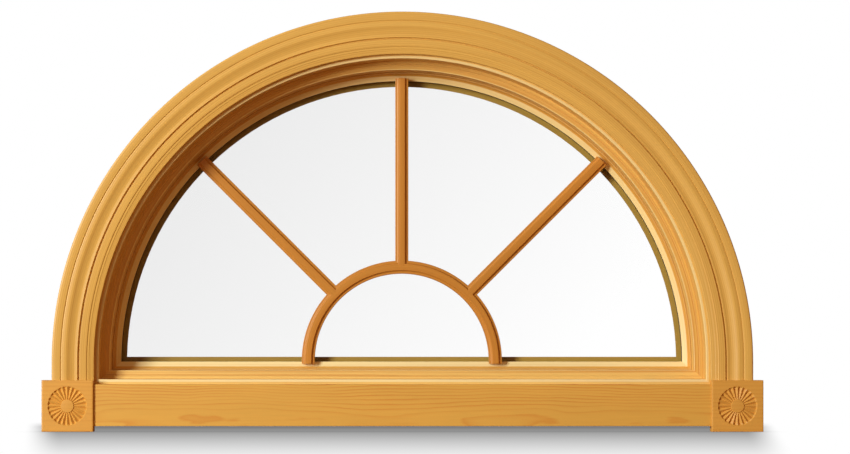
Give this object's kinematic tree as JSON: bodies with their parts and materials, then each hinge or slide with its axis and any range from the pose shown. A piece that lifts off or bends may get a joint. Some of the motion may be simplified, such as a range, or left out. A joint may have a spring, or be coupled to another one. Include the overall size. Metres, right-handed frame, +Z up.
{
  "type": "half-round window",
  "caption": "Half-round fixed window: stepped pine frame, sealed glass unit, sunburst grille, moulded arched casing with carved corner blocks, and a nailing fin to fix it in a wall opening.",
  "frame": {"origin": "middle of the sill's flat underside, in the plane of the wall's room face", "axes": "+X across the window, +Y from the room out through the wall, +Z up"},
  "size_m": [1.2, 0.1422, 0.6998],
  "materials": {
    "casing_pine": "satin clear-finished pine",
    "frame_pine": "satin clear-finished pine",
    "grille_pine": "satin clear-finished pine, darker",
    "glass": "clear float glass",
    "spacer": "matt foam edge spacer",
    "setting_rubber": "matt",
    "cladding": "satin olive-tan paint on aluminium",
    "brad_steel": "bright steel wire"
  },
  "bodies": {
    "root": {"casing_arch": "casing_pine", "casing_board": "casing_pine", "rosette_block_left": "casing_pine", "rosette_block_right": "casing_pine", "extension_jamb_arch": "frame_pine", "extension_jamb_sill": "frame_pine", "frame_arch": "frame_pine", "frame_sill": "frame_pine", "frame_corner_splines": "frame_pine", "glazing_stop_arch": "frame_pine", "glazing_stop_sill": "frame_pine", "glass_inner": "glass", "glass_outer": "glass", "glass_spacer": "spacer", "setting_blocks": "setting_rubber", "cladding_arch": "cladding", "cladding_sill": "cladding", "grille_hub": "grille_pine", "grille_spoke_left": "grille_pine", "grille_spoke_centre": "grille_pine", "grille_spoke_right": "grille_pine", "grille_brads": "brad_steel"}
  },
  "joints": []
}
